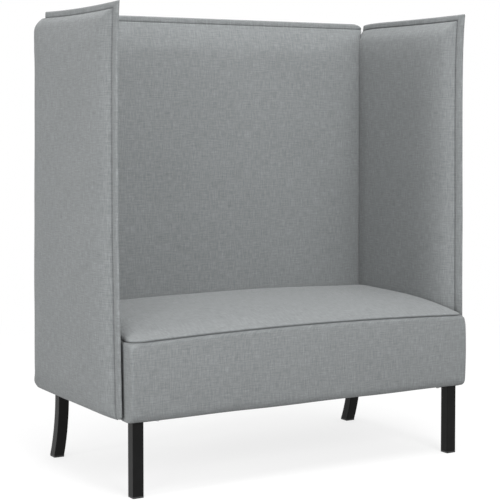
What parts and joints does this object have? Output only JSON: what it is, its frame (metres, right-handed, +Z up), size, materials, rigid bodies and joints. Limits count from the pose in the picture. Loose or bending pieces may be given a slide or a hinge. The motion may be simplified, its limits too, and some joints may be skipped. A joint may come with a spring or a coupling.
{
  "type": "high-back sofa",
  "caption": "High-back sofa in light grey woven fabric, tall side and back panels with flat sewn flanges, crowned box seat, black square steel legs, the rear pair swept back",
  "frame": {"origin": "centre of the footprint box, on the floor under the feet", "axes": "+Z up, the seat faces -Y, +X to the right of a person looking at the front"},
  "size_m": [1.28, 0.646, 1.4],
  "materials": {
    "upholstery_fabric": "matte",
    "foam": "matte",
    "hardboard": "matte",
    "frame_timber": "matte",
    "webbing": "matte",
    "dust_cloth": "matte",
    "black_powder_coat": "satin",
    "glide_plastic": "matte",
    "zinc_steel": "satin"
  },
  "bodies": {
    "root": {"back_bolts": "zinc_steel", "back_bottom_rail": "frame_timber", "back_centre_stile": "frame_timber", "back_cover": "upholstery_fabric", "back_inner_board": "hardboard", "back_inner_foam": "foam", "back_inserts": "zinc_steel", "back_left_stile": "frame_timber", "back_outer_board": "hardboard", "back_outer_foam": "foam", "back_right_stile": "frame_timber", "back_top_rail": "frame_timber", "corner_blocks": "frame_timber", "corner_pins": "zinc_steel", "dust_cover": "dust_cloth", "left_bottom_rail": "frame_timber", "left_cover": "upholstery_fabric", "left_front_glide": "glide_plastic", "left_front_leg": "black_powder_coat", "left_front_stile": "frame_timber", "left_inner_board": "hardboard", "left_inner_foam": "foam", "left_middle_rail": "frame_timber", "left_outer_board": "hardboard", "left_outer_foam": "foam", "left_rear_glide": "glide_plastic", "left_rear_leg": "black_powder_coat", "left_rear_stile": "frame_timber", "left_top_rail": "frame_timber", "leg_screws": "zinc_steel", "right_bottom_rail": "frame_timber", "right_cover": "upholstery_fabric", "right_front_glide": "glide_plastic", "right_front_leg": "black_powder_coat", "right_front_stile": "frame_timber", "right_inner_board": "hardboard", "right_inner_foam": "foam", "right_middle_rail": "frame_timber", "right_outer_board": "hardboard", "right_outer_foam": "foam", "right_rear_glide": "glide_plastic", "right_rear_leg": "black_powder_coat", "right_rear_stile": "frame_timber", "right_top_rail": "frame_timber", "seat_border_cover": "upholstery_fabric", "seat_centre_rail": "frame_timber", "seat_foam": "foam", "seat_front_padding": "foam", "seat_front_rail": "frame_timber", "seat_left_rail": "frame_timber", "seat_rear_rail": "frame_timber", "seat_right_rail": "frame_timber", "seat_top_cover": "upholstery_fabric", "side_bolts": "zinc_steel", "side_inserts": "zinc_steel", "webbing_crosswise": "webbing", "webbing_lengthwise": "webbing"}
  },
  "joints": []
}
